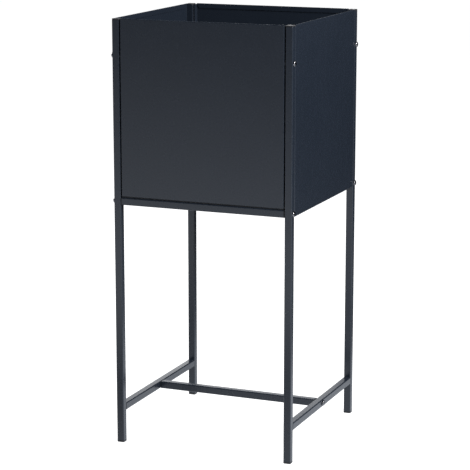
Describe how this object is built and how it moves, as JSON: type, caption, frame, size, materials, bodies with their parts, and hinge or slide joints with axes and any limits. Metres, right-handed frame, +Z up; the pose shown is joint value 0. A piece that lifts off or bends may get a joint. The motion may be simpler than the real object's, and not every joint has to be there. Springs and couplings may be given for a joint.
{
  "type": "raised planter",
  "caption": "Tall square steel planter: an open box with flush panels held between four slim legs of square tube, with low stretchers joined by a crossbar.",
  "frame": {"origin": "on the floor, under the middle of the planter", "axes": "+X to the right along the front panel, +Y from the front panel to the back panel, +Z up"},
  "size_m": [0.3566, 0.35, 0.8],
  "materials": {
    "powder_coat": "satin, very fine orange peel",
    "plastic": "moulded, lightly grained",
    "hardware": "black, semi-gloss"
  },
  "bodies": {
    "root": {"front_left_post": "powder_coat", "front_left_cap": "plastic", "front_left_foot": "plastic", "front_left_upper_bolt": "hardware", "front_left_upper_rivet_nut": "hardware", "front_left_lower_bolt": "hardware", "front_left_lower_end_plug": "hardware", "front_right_post": "powder_coat", "front_right_cap": "plastic", "front_right_foot": "plastic", "front_right_upper_bolt": "hardware", "front_right_upper_rivet_nut": "hardware", "front_right_lower_bolt": "hardware", "front_right_lower_end_plug": "hardware", "back_left_post": "powder_coat", "back_left_cap": "plastic", "back_left_foot": "plastic", "back_left_upper_bolt": "hardware", "back_left_upper_rivet_nut": "hardware", "back_left_lower_bolt": "hardware", "back_left_lower_end_plug": "hardware", "back_right_post": "powder_coat", "back_right_cap": "plastic", "back_right_foot": "plastic", "back_right_upper_bolt": "hardware", "back_right_upper_rivet_nut": "hardware", "back_right_lower_bolt": "hardware", "back_right_lower_end_plug": "hardware", "left_stretcher": "powder_coat", "right_stretcher": "powder_coat", "crossbar": "powder_coat", "left_crossbar_bolt": "hardware", "left_crossbar_end_plug": "hardware", "right_crossbar_bolt": "hardware", "right_crossbar_end_plug": "hardware", "front_rail": "powder_coat", "back_rail": "powder_coat", "front_panel": "powder_coat", "back_panel": "powder_coat", "left_panel": "powder_coat", "right_panel": "powder_coat", "floor_tray": "powder_coat"}
  },
  "joints": []
}
